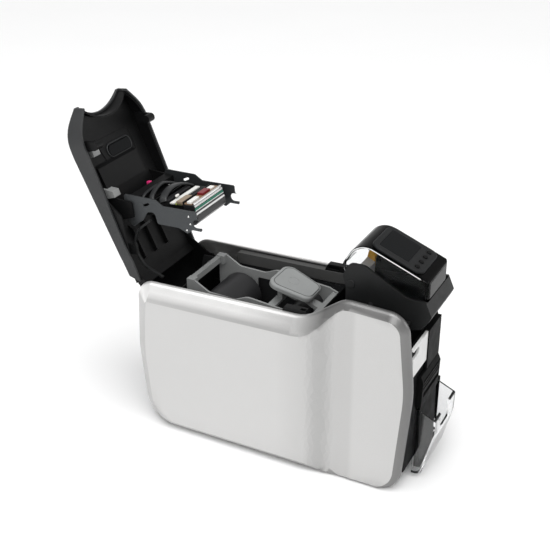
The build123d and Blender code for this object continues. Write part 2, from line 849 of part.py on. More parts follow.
button_xs = [(i - 1.5) * button_pitch for i in range(4)]
with BuildPart() as control_panel:
    with BuildSketch(crown):
        with Locations((0, crown_mid[0])):
            RectangleRounded(panel_wide, panel_long, 9)
    extrude(amount=2.4)
    fillet(control_panel.faces().sort_by(crown_up)[-1].edges(), 1.2)
    with BuildSketch(crown):
        with Locations((0, crown_mid[0])):
            RectangleRounded(well_wide, well_long, 4)
    extrude(amount=-7)
    with BuildSketch(crown.offset(-10)):
        with Locations(*[(x, button_y) for x in button_xs]):
            Circle(button_radius + button_gap)
    extrude(amount=20, mode=Mode.SUBTRACT)
    with BuildSketch(crown.offset(2.4 - display_deep)):
        with Locations((0, display_y)):
            RectangleRounded(display_wide, display_long, 2)
    extrude(amount=5, mode=Mode.SUBTRACT)
save(control_panel, "control_panel")

with BuildPart() as display_window:
    with BuildSketch(crown.offset(2.4 - display_deep)):
        with Locations((0, display_y)):
            RectangleRounded(display_wide - 0.3, display_long - 0.3, 1.85)
    extrude(amount=display_deep)
save(display_window, "display_window")

for number, x in enumerate(button_xs, start=1):
    with BuildPart() as button:
        with BuildSketch(crown.offset(-5)):
            with Locations((x, button_y)):
                Circle(button_radius)
        extrude(amount=5 + 2.4 + 0.9)
        fillet(button.faces().sort_by(crown_up)[-1].edges(), 0.7)
    save(button, f"panel_button_{number}")

# ---------------------------------------------------------------- top cover, drawn closed and carried open
lid_side = opened(side)
lid_deck = opened(deck)
lid_half = 63.0
lid_wall = 2.6
lid_top = [(-54, 197), (-215, 253.5), (-246, 250)]
lid_slope = (lid_top[1][1] - lid_top[0][1]) / (lid_top[0][0] - lid_top[1][0])
lid_round = 3.0
tip_half = 42.0
taper_start = -206.0
heel_half = core_half - 0.4     # half width of the cover's rear end, which dips between the side panels
heel_start = -85.0
heel_full = -72.0


def lid_plan(inset):
    """The cover seen from above, with its tapered front and the notch for the hood."""
    half = lid_half - inset
    tip = tip_half - inset * 0.35
    notch = notch_half + inset * 0.4
    front = lid_tip + inset
    with BuildSketch() as plan:
        with BuildLine():
            taper = Spline((half, taper_start), (tip, front), tangents=[(0, -1), (-0.75, -1)])
            Line(taper @ 1, (notch, front))
            ThreePointArc((notch, front), (0, front + notch_deep), (-notch, front))
            far = Spline((-tip, front), (-half, taper_start), tangents=[(-0.75, 1), (0, 1)])
            Line((-notch, front), far @ 0)
            heel = heel_half - inset
            Polyline(far @ 1, (-half, heel_start), (-heel, heel_full), (-heel, -30), (heel, -30),
                     (heel, heel_full), (half, heel_start), taper @ 0)
        make_face()
    return plan.sketch


def lid_blank(inset, low, back=lid_top[0][0]):
    """Body under the cover's outer surface, drawn in by inset; low is its lower outline."""
    with BuildPart() as blank:
        with BuildSketch(lid_side.offset(-lid_half)):
            with BuildLine():
                drop = inset / cos(radians(19))
                rear_end = (back, lid_top[0][1] + lid_slope * (lid_top[0][0] - back))
                crest = FilletPolyline(*[(y, z - drop) for y, z in [rear_end, *lid_top[1:]]], radius=[120])
                Polyline(crest @ 1, *low, crest @ 0)
            make_face()
        extrude(amount=2 * lid_half)
        with BuildSketch(lid_deck.offset(100)):
            add(lid_plan(inset))
        extrude(amount=200, mode=Mode.INTERSECT)
    return blank


def facing(piece, direction, least=0.5):
    """Faces of a piece that look along a direction."""
    return [f for f in piece.faces() if f.normal_at(f.center()).dot(direction) > least]


liner_gap = 0.3
liner_wall = 2.2
liner_out = lid_half - lid_wall - liner_gap
liner_in = liner_out - liner_wall
shell_low = [(-248, 236), (-215, 228.7), (-48.3, 182.3)]
hollow_low = [(-250, 200), (-212, 180), (-30, 150)]
liner_low = [(-248, 240), (-236, 236), (-199, 225.2), (-143, 209.7), (-128, 194.5),
             (-60, rim_at(-60) + 2.5),
             (-46, 188)]


def ceiling_at(y):
    """Height of the closed cover's inner ceiling on its straight stretch."""
    lost = (lid_wall + liner_gap + liner_wall) / cos(radians(19))
    return lid_top[0][1] - lost + lid_slope * (lid_top[0][0] - y)


with BuildPart() as cover_shell:
    add(lid_blank(0, shell_low).part)
    top_faces = facing(cover_shell, lid_deck.z_dir)
    rim_edges = [e for f in top_faces for e in f.edges()
                 if sum(1 for g in top_faces if any(e.is_same(h) for h in g.edges())) == 1]
    fillet([e for e in rim_edges if e.center().Z > rim_brow], lid_round)
    add(lid_blank(lid_wall, hollow_low, -40).part, mode=Mode.SUBTRACT)
    with BuildSketch(lid_side.offset(-notch_half - 3)):
        Polygon((-260, 200), (-260, 246), (-222, 246), (-222, 200), align=None)
    extrude(amount=2 * notch_half + 6, mode=Mode.SUBTRACT)
save(cover_shell, "cover_shell")


def polar(angle, radius):
    """Point about the hinge, the angle taken from the rear towards the top."""
    return (hinge_y + radius * cos(radians(angle)), hinge_z + radius * sin(radians(angle)))


barrel_start = 48.0
barrel_end = 125.0
barrel_inner = barrel_radius - barrel_wall
ear_radius = 12.0
float_y = -131.0
float_z = 193.0
float_pin = 2.5
bracket_x = plate_x + head_sheet + 0.7
bracket_wall = 2.5

ear_out = heel_half - lid_wall - liner_gap
ear_in = chassis_x + chassis_sheet + 0.4
liner_back = -44.0

with BuildPart() as cover_liner:
    add(lid_blank(lid_wall + liner_gap, liner_low, liner_back).part)
    add(lid_blank(lid_wall + liner_gap + liner_wall, hollow_low, -40).part, mode=Mode.SUBTRACT)
    with BuildSketch(lid_side.offset(-ear_in)):
        with BuildLine():
            mid = (barrel_start + barrel_end) / 2
            rim = ThreePointArc(polar(barrel_start, barrel_radius), polar(mid, barrel_radius),
                                polar(barrel_end, barrel_radius))
            bore = ThreePointArc(polar(barrel_start, barrel_inner), polar(mid, barrel_inner),
                                 polar(barrel_end, barrel_inner))
            Line(rim @ 0, bore @ 0)
            Line(rim @ 1, bore @ 1)
        make_face()
        Polygon(polar(barrel_end, barrel_inner), polar(barrel_end - 6, barrel_radius),
                (liner_back, ceiling_at(liner_back) + 1), (liner_back - 2.5, ceiling_at(liner_back - 2.5)),
                align=None)
    extrude(amount=2 * ear_in)
    for edge in (-ear_out, ear_in):
        with BuildSketch(lid_side.offset(edge)):
            with Locations((hinge_y, hinge_z)):
                Circle(ear_radius)
            with BuildLine():
                skin = ThreePointArc(polar(barrel_start, barrel_radius), polar(mid, barrel_radius),
                                     polar(barrel_end, barrel_radius))
                Polyline(skin @ 1, (liner_back, ceiling_at(liner_back)), (-76, ceiling_at(-76)),
                         (-76, rim_at(-60) + 2.5),
                         (-60, rim_at(-60) + 2.5), (hinge_y - ear_radius, hinge_z), (hinge_y, hinge_z - 4),
                         skin @ 0)
            make_face()
            with Locations((hinge_y, hinge_z)):
                Circle(pin_radius + running_gap, mode=Mode.SUBTRACT)
        extrude(amount=ear_out - ear_in)
    for edge in (-bracket_x - bracket_wall, bracket_x):
        with BuildSketch(lid_side.offset(edge)):
            Polygon((-146, ceiling_at(-146) + 1), (-140, 188), (-122, 188), (-116, ceiling_at(-116) + 1),
                    align=None)
        extrude(amount=bracket_wall)
        with BuildSketch(lid_side.offset(edge)):
            with Locations((float_y, float_z)):
                Circle(float_pin)
        inward = -1 if edge > 0 else 1
        extrude(amount=inward * (bracket_x - plate_x + 1.5) + (bracket_wall if edge < 0 else 0))
    with BuildSketch(lid_side.offset(-44)):
        Polygon((-178, ceiling_at(-178) + 1), (-176, ceiling_at(-176) - 6), (-150, ceiling_at(-150) - 6),
                (-150, ceiling_at(-150) + 1), align=None)
    extrude(amount=76)
    for x in (-32, -8, 16):
        with BuildSketch(lid_side.offset(x)):
            Polygon((-62, ceiling_at(-62) + 1), (-66, ceiling_at(-66) - 5), (-100, ceiling_at(-100) - 5),
                    (-106, ceiling_at(-106) + 1), align=None)
        extrude(amount=4)
save(cover_liner, "cover_liner")

latch_radius = 5.0
latch_wall = 3.0
with BuildPart() as latch_lug:
    with BuildSketch(lid_side.offset(liner_in - latch_wall)):
        with Locations((latch_y, 219)):
            Circle(latch_radius)
        Polygon((latch_y - latch_radius, 219), (latch_y + latch_radius, 219), (latch_y + 8, 238),
                (latch_y - 6, 240),
                align=None)
    extrude(amount=latch_wall)
    with BuildSketch(lid_side.offset(liner_in)):
        with Locations((latch_y, 218)):
            Circle(latch_radius)
    extrude(amount=-12)
    add(cover_liner.part, mode=Mode.SUBTRACT)
cover_latches = on_both_sides(latch_lug)
save(cover_latches, "cover_latches")

with BuildPart() as cover_window:
    with BuildSketch(opened(deck).offset(0)):
        with Locations((12, -185)):
            RectangleRounded(42, 12, 5.5)
    extrude(amount=300)
    with BuildSketch(lid_side.offset(-50)):
        Polygon((-150, ceiling_at(-150) - 2), (-212, ceiling_at(-212) - 2), (-212, ceiling_at(-212)),
                (-150, ceiling_at(-150)), align=None)
    extrude(amount=120, mode=Mode.INTERSECT)
save(cover_window, "cover_window")

guide_x = -48.0
guide_wide = 12.0
with BuildPart() as ribbon_guides:
    for middle, reach, low in ((-196, 7, 12), (-148, 6, 14)):
        with BuildSketch(lid_side.offset(guide_x)):
            Polygon((middle - reach, ceiling_at(middle - reach)),
                    (middle - reach + 2, ceiling_at(middle) - low),
                    (middle + reach - 3, ceiling_at(middle) - low - 2),
                    (middle + reach, ceiling_at(middle + reach)),
                    align=None)
        extrude(amount=guide_wide)
    add(cover_liner.part, mode=Mode.SUBTRACT)
save(ribbon_guides, "ribbon_guides")

guard_x = -bracket_x - 3.6
guard_wide = 3.4
guard_thick = 2.5
guard_line = [(-121, 165), (-107, 185), (-92, 192), (-76, 191), (-63, 184), (-50, 160)]
with BuildPart() as cable_guard:
    with BuildSketch(lid_side.offset(guard_x)):
        with BuildLine():
            FilletPolyline(*guard_line, radius=[14, 14, 14, 14])
        trace(line_width=guard_thick)
        Polygon((-88, 190), (-76, 190), (-76, ceiling_at(-76)), (-88, ceiling_at(-88)), align=None)
    extrude(amount=guard_wide)
save(cable_guard, "cable_guard")

# ---------------------------------------------------------------- printhead, sprung on the cover
notch_y = platen_y


def head_plate():
    with BuildPart() as plate:
        with BuildSketch(lid_side.offset(plate_x)):
            with BuildLine():
                FilletPolyline(
                    (-149, 199), (-145, 157), (-138, 148), (-135, 104.5), (-126, 104.5), (-124.5, 100),
                    (-112, 100), (-113, 112), (-108, 119),
                    (-114, 130), (-116, 158), (-130, 160), (-129, 170), (-119, 177), (-109, 193),
                    (-120, 200),
                    radius=[3, 3, 4, 2, 0.8, 0.8, 1.5, 2, 1.5, 3, 3, 5, 5, 5, 3, 2], close=True)
            make_face()
            Polygon((notch_y - 4.9, 90), (notch_y + 5.5, 90), (notch_y + 4.9, 106), (notch_y - 4.9, 106),
                    align=None,
                    mode=Mode.SUBTRACT)
            with Locations((notch_y, 106)):
                Circle(4.9, mode=Mode.SUBTRACT)
            with Locations((float_y, float_z)):
                Circle(float_pin + running_gap, mode=Mode.SUBTRACT)
            with Locations((-138, 170)):
                SlotOverall(9, 3, rotation=70, mode=Mode.SUBTRACT)
        extrude(amount=head_sheet)
    return plate


right_head_plate = head_plate()
save(right_head_plate, "right_head_plate")
left_head_plate = mirrored(right_head_plate)
save(left_head_plate, "left_head_plate")

head_half = 31.0
head_low = path_z + 1.7
with BuildPart() as head_chassis:
    with BuildSketch(lid_side.offset(-head_half)):
        Polygon((-136, 128.3), (-136, 189), (-118, 189), (-121, 170), (-119, 128.3), align=None)
    extrude(amount=2 * head_half)
    with BuildSketch(lid_side.offset(-plate_x)):
        Polygon((-142, 187.5), (-144, 198), (-137, 202), (-118, 200), (-116, 189), (-136, 187.5),
                align=None)
        with Locations((float_y, float_z)):
            Circle(float_pin + 1, mode=Mode.SUBTRACT)
    extrude(amount=2 * plate_x)
    with BuildSketch(lid_side.offset(-head_half + 4)):
        with Locations(*[(-137.5, 163 + 5 * i) for i in range(3)]):
            Rectangle(3.1, 2)
    extrude(amount=2 * head_half - 8)
save(head_chassis, "head_chassis")

with BuildPart() as print_head:
    with BuildSketch(lid_side.offset(-head_half)):
        Polygon((-137, 114), (-137, 128.3), (-117, 128.3), (-112, 120), (-114, 115), (-118, head_low),
                (-124, head_low), align=None)
    extrude(amount=2 * head_half)
save(print_head, "print_head")

with BuildPart() as head_board:
    with BuildSketch(lid_side.offset(1 - head_half)):
        Polygon((-137, 117.5), (-138.4, 117.5), (-138.4, 127.5), (-137, 127.5), align=None)
    extrude(amount=2 * head_half - 2)
save(head_board, "head_board")

with BuildPart() as head_connectors:
    for low, high, start, end, proud in ((130, 138, -30, -8, 4), (141, 147, -30, 26, 1.5),
                                         (150, 157, -28, 20, 3)):
        with BuildSketch(lid_side.offset(start)):
            Polygon((-136, low), (-136 - proud, low), (-136 - proud, high), (-136, high), align=None)
        extrude(amount=end - start)
save(head_connectors, "head_connectors")

# ---------------------------------------------------------------- ribbon cassette
plate_wall = 2.5
rail_half = cassette_half
film_z = path_z + card_thick + 0.3
film_thick = 0.3
roll_y = -84.0
roll_z = 146.0
roll_radius = 26.0
roll_half = 30.0
spool_axle = 3.0
take_y = -178.0
take_z = 156.0
take_radius = 14.0
cassette_foot = guide_top + 2.5
handle_rear = (-146.5, 202.0)
handle_front = (-199.0, 186.5)

with BuildPart() as ribbon_frame:
    for edge in (-rail_half, rail_half - plate_wall):
        with BuildSketch(side.offset(edge)):
            with BuildLine():
                FilletPolyline(
                    (-49, 187.5), (-49, 150), (-60, cassette_foot), (-100, cassette_foot), (-102, 168),
                    (-158, 168),
                    (-160, 132), (-204, 132), (-209, 150), (-209, 171), (-196, 176), (-128, 183),
                    (-112, 176),
                    (-78, 177), (-60, 187.5), radius=[1.5, 10, 8, 3, 3, 3, 5, 5, 4, 4, 8, 16, 16, 12, 1.5],
                    close=True)
            make_face()
            with Locations((roll_y, roll_z), (take_y, take_z)):
                Circle(spool_axle + running_gap, mode=Mode.SUBTRACT)
        extrude(amount=plate_wall)
    with BuildSketch(side.offset(-rail_half)):
        Polygon((-49, 187.5), (-49, 180), (-55, 180), (-55, 187.5), align=None)
    extrude(amount=2 * rail_half)
    for edge in (-rail_half, rail_half - 9):
        with BuildSketch(side.offset(edge)):
            Polygon((-49, 188.5), (-49, 178), (-59, 178), (-59, 188.5), align=None)
        extrude(amount=9)
    with BuildSketch(side.offset(-rail_half)):
        Polygon((-201, 166), (-201, 172), (-209, 169), (-209, 158), (-205, 158), align=None)
    extrude(amount=2 * rail_half)
    with BuildSketch(side.offset(-6)):
        Polygon((-201, 166), (-201, 172), (-188, 176), (-182, 176), align=None)
    extrude(amount=12)
save(ribbon_frame, "ribbon_frame")

handle_lip = 6.0
slope = (handle_rear[1] - handle_front[1]) / (handle_rear[0] - handle_front[0])
pad_plane = tilted(deck.offset(handle_rear[1]), handle_rear[0], handle_rear[1], degrees(atan2(slope, 1)))
with BuildPart() as ribbon_handle:
    with BuildSketch(pad_plane):
        with BuildLine():
            FilletPolyline((27, handle_rear[0]), (18, handle_front[0]), (-18, handle_front[0]),
                           (-27, handle_rear[0]), radius=[12, 9, 9, 12], close=True)
        make_face()
    extrude(amount=-handle_lip)
    fillet(ribbon_handle.faces().sort_by(Axis((0, 0, 0), pad_plane.z_dir))[-1].edges(), 3)
    with BuildSketch(pad_plane.offset(-handle_lip)):
        with Locations((0, (handle_rear[0] + handle_front[0]) / 2 + 2)):
            RectangleRounded(26, 30, 6)
    extrude(amount=-8)
    with BuildSketch(side.offset(-6)):
        Polygon((-150, 168.5), (-150, 197), (-156, 197), (-156, 168.5), align=None)
    extrude(amount=12)
    for edge in (-rail_half + plate_wall, 6):
        with BuildSketch(side.offset(edge)):
            Polygon((-149, 170), (-149, 175), (-157, 173), (-157, 170), align=None)
        extrude(amount=rail_half - plate_wall - 6)
save(ribbon_handle, "ribbon_handle")


def spool(y, z, wound):
    """Wound ribbon on its core, with ends that run in the frame's side plates."""
    with BuildPart() as reel:
        with BuildSketch(side.offset(-roll_half)):
            with Locations((y, z)):
                Circle(wound)
        extrude(amount=2 * roll_half)
        with BuildSketch(side.offset(-rail_half)):
            with Locations((y, z)):
                Circle(spool_axle)
        extrude(amount=2 * rail_half)
        for edge in (-roll_half - 3, roll_half + 1):
            with BuildSketch(side.offset(edge)):
                with Locations((y, z)):
                    Circle(9)
            extrude(amount=2)
    return reel


supply_spool = spool(roll_y, roll_z, roll_radius)
save(supply_spool, "supply_spool")
takeup_spool = spool(take_y, take_z, take_radius)
save(takeup_spool, "takeup_spool")

with BuildPart() as ribbon_film:
    with BuildSketch(side.offset(-roll_half)):
        with BuildLine():
            Polyline((roll_y - 24, roll_z - 11), (-108, film_z), (-152, film_z),
                     (take_y + 2, take_z - take_radius - 0.4))
        trace(line_width=film_thick)
    extrude(amount=2 * roll_half)
save(ribbon_film, "ribbon_film")
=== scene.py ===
import bpy
import bmesh
import json
import math
from mathutils import Matrix, Vector


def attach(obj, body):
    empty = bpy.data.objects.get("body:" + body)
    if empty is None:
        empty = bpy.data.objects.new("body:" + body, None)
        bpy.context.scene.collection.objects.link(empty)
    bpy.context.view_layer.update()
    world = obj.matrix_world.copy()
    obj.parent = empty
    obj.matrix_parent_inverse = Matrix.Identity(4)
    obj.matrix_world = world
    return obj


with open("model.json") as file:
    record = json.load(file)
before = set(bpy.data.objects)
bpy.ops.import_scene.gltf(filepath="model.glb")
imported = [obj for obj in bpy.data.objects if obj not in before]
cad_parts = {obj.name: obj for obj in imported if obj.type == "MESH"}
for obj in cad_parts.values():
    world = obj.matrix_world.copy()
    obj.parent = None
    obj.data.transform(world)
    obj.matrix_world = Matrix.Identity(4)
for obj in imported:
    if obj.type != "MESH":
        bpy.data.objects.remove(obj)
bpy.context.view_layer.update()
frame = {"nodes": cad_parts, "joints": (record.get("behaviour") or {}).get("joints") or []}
nodes = frame["nodes"]
joints = {joint["name"]: joint for joint in frame["joints"]}

# A desktop printer for plastic cards with its cover swung open.
# Places are written in millimetres, with y measured from the printer's rear edge.
MM = 0.001
HINGE = (-24.0, 161.0)
SWING = math.radians(96)
REAR = joints["cover_hinge"]["pos_m"][1] / MM - HINGE[0]


def at(x, y, z):
    """A place on the printer, in metres in the frame."""
    return Vector((x * MM, (REAR + y) * MM, z * MM))


def lifted(x, y, z):
    """A place on the closed cover, carried to where the open cover holds it."""
    dy, dz = y - HINGE[0], z - HINGE[1]
    c, s = math.cos(-SWING), math.sin(-SWING)
    return at(x, HINGE[0] + dy * c - dz * s, HINGE[1] + dy * s + dz * c)


def show(thing):
    bpy.context.scene.collection.objects.link(thing)


# ------------------------------------------------------------------ shader nodes
GRAIN = 2600.0          # scales of the noise for a moulded grain, and for uneven colour and gloss
PATCHES, GLOSS_PATCHES = 38.0, 90.0
BUMP_DEPTH = 0.0001     # metres


def feed(tree, node, inputs):
    """Link a node's inputs to other sockets, or set them to values."""
    for key, value in inputs.items():
        if isinstance(value, bpy.types.NodeSocket):
            tree.links.new(value, node.inputs[key])
        else:
            node.inputs[key].default_value = value


def add(tree, kind, inputs, **settings):
    """A shader node with its settings made first and its inputs fed."""
    node = tree.nodes.new("ShaderNode" + kind)
    for key, value in settings.items():
        setattr(node, key, value)
    feed(tree, node, inputs)
    return node


def parts(tree, vector):
    """The sockets X, Y and Z of a vector socket."""
    return add(tree, "SeparateXYZ", {"Vector": vector}).outputs


def coordinate(tree, kind):
    return parts(tree, add(tree, "TexCoord", {}).outputs[kind])


def scaled(tree, source, low, high, to_low=0.0, to_high=1.0):
    ends = {"From Min": low, "From Max": high, "To Min": to_low, "To Max": to_high}
    return add(tree, "MapRange", {"Value": source, **ends}).outputs["Result"]


def sum_of(tree, operation, *sources):
    """The result of a sum on one or two sockets or numbers."""
    return add(tree, "Math", dict(enumerate(sources)), operation=operation).outputs[0]


def mixed(tree, share, first, second, data_type="RGBA", **settings):
    inputs = {"Factor": share, "A": first, "B": second}
    return add(tree, "Mix", inputs, data_type=data_type, **settings).outputs["Result"]


def noise(tree, scale, detail=4.0, stretch=None):
    """Noise in object space, drawn out along the axes by stretch."""
    place = add(tree, "TexCoord", {}).outputs["Object"]
    if stretch:
        place = add(tree, "Mapping", {"Scale": stretch, "Vector": place}).outputs["Vector"]
    return add(tree, "TexNoise", {"Scale": scale, "Detail": detail, "Vector": place}).outputs["Fac"]


def ramp(tree, source, stops, interpolation="LINEAR"):
    """Colours along a value. Each stop is a spot from 0 to 1 with its colour, in rising order."""
    node = add(tree, "ValToRGB", {"Fac": source})
    node.color_ramp.interpolation = interpolation
    marks = node.color_ramp.elements
    marks[0].position, marks[1].position = stops[0][0], stops[1][0]
    for spot, colour in stops[2:]:
        marks.new(spot)
    for mark, (spot, colour) in zip(marks, stops):
        mark.color = (*colour, 1)
    return node.outputs["Color"]


def between(tree, source, low, high):
    """A colour that wanders between two with a noise."""
    return ramp(tree, source, [(0.3, low), (0.7, high)])


def number_between(tree, source, low, high):
    return between(tree, source, (low,) * 3, (high,) * 3)


def spread(colour, amount):
    """The colour made a share darker, and a share lighter."""
    darker = tuple(max(0.0, c * (1 - amount)) for c in colour)
    lighter = tuple(min(1.0, c * (1 + amount)) for c in colour)
    return darker, lighter


def bump(tree, shader, source, strength, distance=BUMP_DEPTH):
    node = add(tree, "Bump", {"Strength": strength, "Distance": distance, "Height": source})
    feed(tree, shader, {"Normal": node.outputs["Normal"]})


# ------------------------------------------------------------------ materials
def new_material(name):
    mat = bpy.data.materials.new(name)
    mat.use_nodes = True
    tree = mat.node_tree
    return mat, tree, tree.nodes["Principled BSDF"]


def moulded(name, colour, rough=0.45, grain=1.0, vary=0.08, coat=0.0, metal=0.0, shine=0.5):
    """Moulded plastic or painted metal with a fine spark-eroded grain and faint unevenness."""
    mat, tree, shader = new_material(name)
    feed(tree, shader, {
        "Base Color": between(tree, noise(tree, PATCHES, 6.0), *spread(colour, vary)),
        "Roughness": number_between(tree, noise(tree, GLOSS_PATCHES), rough * 0.88, min(1.0, rough * 1.12)),
        "Metallic": metal, "Specular IOR Level": shine, "Coat Weight": coat, "Coat Roughness": 0.08})
    if grain:
        bump(tree, shader, noise(tree, GRAIN, 2.0), 0.12 * grain, 1.2 * BUMP_DEPTH)
    return mat


def brushed(name, colour, rough=0.32, metal=1.0):
    """Sheet metal with fine lines along x."""
    mat, tree, shader = new_material(name)
    lines = noise(tree, 160.0, 5.0, stretch=(1, 60, 60))
    feed(tree, shader, {
        "Base Color": between(tree, lines, *spread(colour, 0.07)),
        "Roughness": number_between(tree, lines, rough * 0.8, rough * 1.25), "Metallic": metal})
    bump(tree, shader, lines, 0.06)
    return mat


PAINTED_SHADE_FAR, PAINTED_SHADE_NEAR = 30.0, -25.0     # x where a side wall is wholly tinted dark, as painted shade of the hood's inside, and where it is clear


def clear_plastic(name, colour, bend, smoke_and_painted_shade=None):
    """Clear moulded plastic that light passes through; the dark tint colours what isn't a side wall as
    smoke-tinted plastic, and the far side wall as painted shade of the hood's inside.
    """
    mat, tree, shader = new_material(name)
    if smoke_and_painted_shade:
        wall = sum_of(tree, "ABSOLUTE", coordinate(tree, "Normal")["X"])
        across = coordinate(tree, "Object")["X"]
        near = scaled(tree, across, PAINTED_SHADE_FAR * MM, PAINTED_SHADE_NEAR * MM, to_low=0.35)
        paint = ramp(tree, sum_of(tree, "MULTIPLY", wall, near), [(0.45, smoke_and_painted_shade), (0.85, colour)])
    else:
        paint = between(tree, noise(tree, 30.0, 3.0), *spread(colour, 0.02))
    feed(tree, shader, {"Base Color": paint, "Roughness": 0.03, "IOR": bend, "Transmission Weight": 1.0})
    return mat


PAINTED_LIGHT_REAR, PAINTED_LIGHT_FRONT = -20.0, -350.0     # y between which the painted light and shade run
# painted light on the side panels, as tones along y: a painted sheen and shade band on the face, a painted
# highlight turning to painted shade on the upward rim, and painted shade on the rim's other sides
FACE_PAINTED_LIGHT = [(0.0, 0.58), (0.5, 0.565), (0.66, 0.48), (0.76, 0.485), (0.775, 0.54), (1.0, 0.53)]
RIM_PAINTED_LIGHT = [(0.0, 0.95), (0.35, 0.92), (0.58, 0.55), (0.66, 0.17), (0.8, 0.2), (1.0, 0.14)]
END_PAINTED_SHADE = [(0.0, 0.50), (0.5, 0.40), (0.85, 0.26), (1.0, 0.14)]


def tones(tree, source, stops):
    """Slightly warm grays along a value."""
    return ramp(tree, source, [(spot, (tone, tone * 0.995, tone * 0.985)) for spot, tone in stops])


def silver_with_painted_light():
    """Metallic paint with painted light: a painted sheen with a band of painted shade on the broad face, and
    a rim with a painted highlight at the rear and painted shade at the front.
    """
    mat, tree, shader = new_material("silver_with_painted_light")
    along = scaled(tree, coordinate(tree, "Object")["Y"], (REAR + PAINTED_LIGHT_REAR) * MM, (REAR + PAINTED_LIGHT_FRONT) * MM)
    # the rim's painted light: the upward rim lit at the rear and shaded at the front, its other sides shaded
    # towards the front
    upward = scaled(tree, coordinate(tree, "Normal")["Z"], 0.12, 0.42)
    rim = mixed(tree, upward, tones(tree, along, END_PAINTED_SHADE), tones(tree, along, RIM_PAINTED_LIGHT))
    true_normal = parts(tree, add(tree, "NewGeometry", {}).outputs["True Normal"])
    sideways = scaled(tree, sum_of(tree, "ABSOLUTE", true_normal["X"]), 0.95, 0.992)
    painted_light_and_shade = mixed(tree, sideways, rim, tones(tree, along, FACE_PAINTED_LIGHT))
    flakes = number_between(tree, noise(tree, 900.0, 3.0), 0.96, 1.0)
    feed(tree, shader, {
        "Base Color": mixed(tree, 1.0, painted_light_and_shade, flakes, blend_type="MULTIPLY"),
        "Roughness": number_between(tree, noise(tree, 60.0), 0.31, 0.37),
        "Metallic": 0.65, "Coat Weight": 0.1})
    bump(tree, shader, noise(tree, GRAIN, 2.0), 0.04)
    return mat


def banded(name, stops, end, rough=0.4, metal=0.0, floor=None):
    """Colours in steps along y, from each stop's y to the next and to the end.

    Where a floor is given, everything below that height has the first stop's colour.
    """
    mat, tree, shader = new_material(name)
    start = stops[0][0]
    place = coordinate(tree, "Object")
    share = scaled(tree, place["Y"], (REAR + start) * MM, (REAR + end) * MM)
    steps = [((y - start) / (end - start), colour) for y, colour in stops]
    paint = ramp(tree, share, steps, "CONSTANT")
    if floor:
        above = sum_of(tree, "GREATER_THAN", place["Z"], floor * MM)
        paint = mixed(tree, above, (*stops[0][1], 1), paint)
    feed(tree, shader, {"Base Color": paint, "Roughness": rough, "Metallic": metal})
    bump(tree, shader, noise(tree, GRAIN, 2.0), 0.1)
    return mat


silver = silver_with_painted_light()
cover_gray = moulded("cover_gray", (0.038, 0.039, 0.04), 0.38, grain=0.8, metal=0.2, shine=0.3)
black = moulded("black_plastic", (0.0050, 0.0051, 0.0053), 0.42, grain=1.2, shine=0.16)
deep_black = moulded("deep_black_plastic", (0.0048, 0.005, 0.005), 0.5, grain=1.2, shine=0.04)
key_black = moulded("key_black", (0.003, 0.003, 0.0032), 0.3, grain=0.6, shine=0.1)
dark_steel = brushed("dark_steel", (0.045, 0.046, 0.048), 0.4, metal=0.6)
soft_black = moulded("soft_black_plastic", (0.0105, 0.011, 0.0112), 0.46, grain=1.4, shine=0.22)
sill_gray = moulded("sill_gray", (0.062, 0.062, 0.061), 0.42, shine=0.35)
panel_gray = moulded("panel_gray", (0.0135, 0.014, 0.0145), 0.42, grain=0.8, shine=0.14)
display_glass = moulded("display_glass", (0.0035, 0.004, 0.0045), 0.16, grain=0, shine=0.12)
# a pale strip colour that stands for painted highlights along the hood's edges
painted_edge_highlight = moulded("painted_edge_highlight", (0.80, 0.81, 0.81), 0.15, grain=0, vary=0.02)
# the hood's dark tint is smoke on its crown and painted shade on its far side wall
hood_clear = clear_plastic("hood_clear", (0.86, 0.87, 0.875), 1.16, smoke_and_painted_shade=(0.010, 0.0105, 0.011))
hopper_clear = clear_plastic("hopper_clear", (0.90, 0.905, 0.91), 1.49)
chute_gray = moulded("chute_gray", (0.60, 0.60, 0.595), 0.4, vary=0.03)
ribbon_gray = moulded("ribbon_gray", (0.235, 0.24, 0.238), 0.46, vary=0.05, shine=0.35)
handle_gray = moulded("handle_gray", (0.245, 0.252, 0.25), 0.5, grain=1.2, vary=0.05, shine=0.35)
film_dark = moulded("ribbon_film", (0.022, 0.022, 0.023), 0.36, grain=0.2, shine=0.3)
white_plastic = moulded("white_plastic", (0.78, 0.77, 0.74), 0.35, vary=0.03)
amber = moulded("amber_plastic", (0.72, 0.36, 0.02), 0.3, vary=0.1)
steel = brushed("zinc_steel", (0.42, 0.43, 0.44))
plate_steel = brushed("plate_steel", (0.055, 0.059, 0.062), 0.42, metal=0.6)
bright_metal = brushed("bright_metal", (0.78, 0.78, 0.77), 0.22)
rubber = moulded("rubber", (0.012, 0.012, 0.012), 0.75, grain=2.0, shine=0.3)
roller_rubber = moulded("roller_rubber", (0.03, 0.03, 0.032), 0.6)
gear_plastic = moulded("gear_plastic", (0.6, 0.6, 0.55), 0.4)
brass = brushed("bush_brass", (0.6, 0.42, 0.2), 0.3)
board_green = moulded("board_green", (0.010, 0.16, 0.095), 0.32, grain=0.4, coat=0.4)

red_plastic = moulded("red_plastic", (0.16, 0.006, 0.012), 0.3, vary=0.12)
magenta = moulded("magenta_plastic", (0.62, 0.03, 0.16), 0.25)
lime = moulded("lime_label", (0.42, 0.48, 0.10), 0.5, vary=0.1)
board_tan = moulded("board_tan", (0.22, 0.14, 0.085), 0.4, grain=0.4, vary=0.22)
flex_black = moulded("flex_black", (0.022, 0.023, 0.024), 0.38, grain=0.6, shine=0.4)

